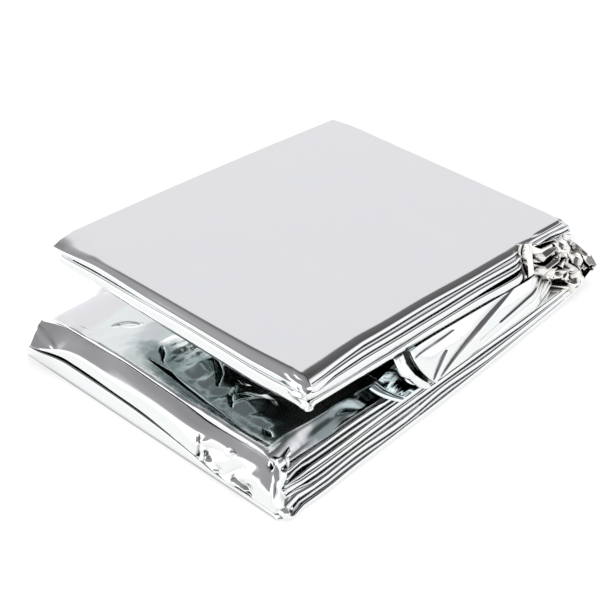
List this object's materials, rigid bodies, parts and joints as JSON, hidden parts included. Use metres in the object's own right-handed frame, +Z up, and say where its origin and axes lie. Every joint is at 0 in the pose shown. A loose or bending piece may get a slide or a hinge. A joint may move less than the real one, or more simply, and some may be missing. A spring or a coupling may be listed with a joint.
{
  "type": "emergency foil blanket",
  "caption": "Metallised film blanket folded back and forth into a flat packet of thin leaves, hinged at one end and gaping at the other like a half-open book; lies on its flat underside.",
  "frame": {"origin": "centre of the packet's footprint, on its flat underside", "axes": "+X from the gaping fore edge to the spine, along the leaves; +Y from the side with the pulled web of film to the plain side; +Z up through the leaves"},
  "size_m": [0.1368, 0.103, 0.0346],
  "materials": {
    "metallised_film": "mirror-bright metallised polyester film with fine crinkles, lightly cool in deep folds"
  },
  "bodies": {
    "root": {"foil_blanket": "metallised_film"}
  },
  "joints": []
}
